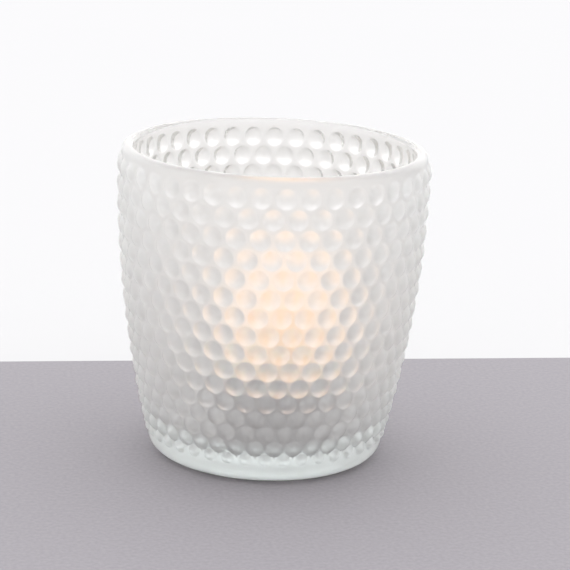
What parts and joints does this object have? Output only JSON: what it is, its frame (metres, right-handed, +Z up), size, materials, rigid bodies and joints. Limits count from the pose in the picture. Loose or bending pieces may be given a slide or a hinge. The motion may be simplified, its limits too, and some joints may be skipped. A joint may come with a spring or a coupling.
{
  "type": "tealight holder",
  "caption": "Thick frosted hobnail-glass tumbler that narrows to its foot, with a plain round rim, holding a loose tealight in an aluminium cup.",
  "frame": {"origin": "centre of the flat foot of the glass, on the surface it stands on", "axes": "+Z up along the axis of the glass; -Y is the front; the tealight stands a little to +X of the axis"},
  "size_m": [0.0824, 0.0824, 0.083],
  "materials": {
    "frosted_glass": "acid-frosted, satin, faint aqua where the glass is thick",
    "cup_foil": "drawn, semi-bright",
    "paraffin": "waxy, with a clear melted pool",
    "tinned_steel": "tinned",
    "cotton_wick": "braided, charred at the end"
  },
  "bodies": {
    "holder": {"glass_holder": "frosted_glass"},
    "tealight": {"candle_cup": "cup_foil"},
    "candle": {"wax": "paraffin", "wick_sustainer": "tinned_steel", "wick": "cotton_wick"}
  },
  "joints": [
    {"name": "tealight_lift", "type": "slide", "parent": "holder", "child": "tealight", "axis": [0, 0, 1], "range_m": [0, 0.09]},
    {"name": "candle_lift", "type": "slide", "parent": "tealight", "child": "candle", "axis": [0, 0, 1], "range_m": [0, 0.03]}
  ]
}
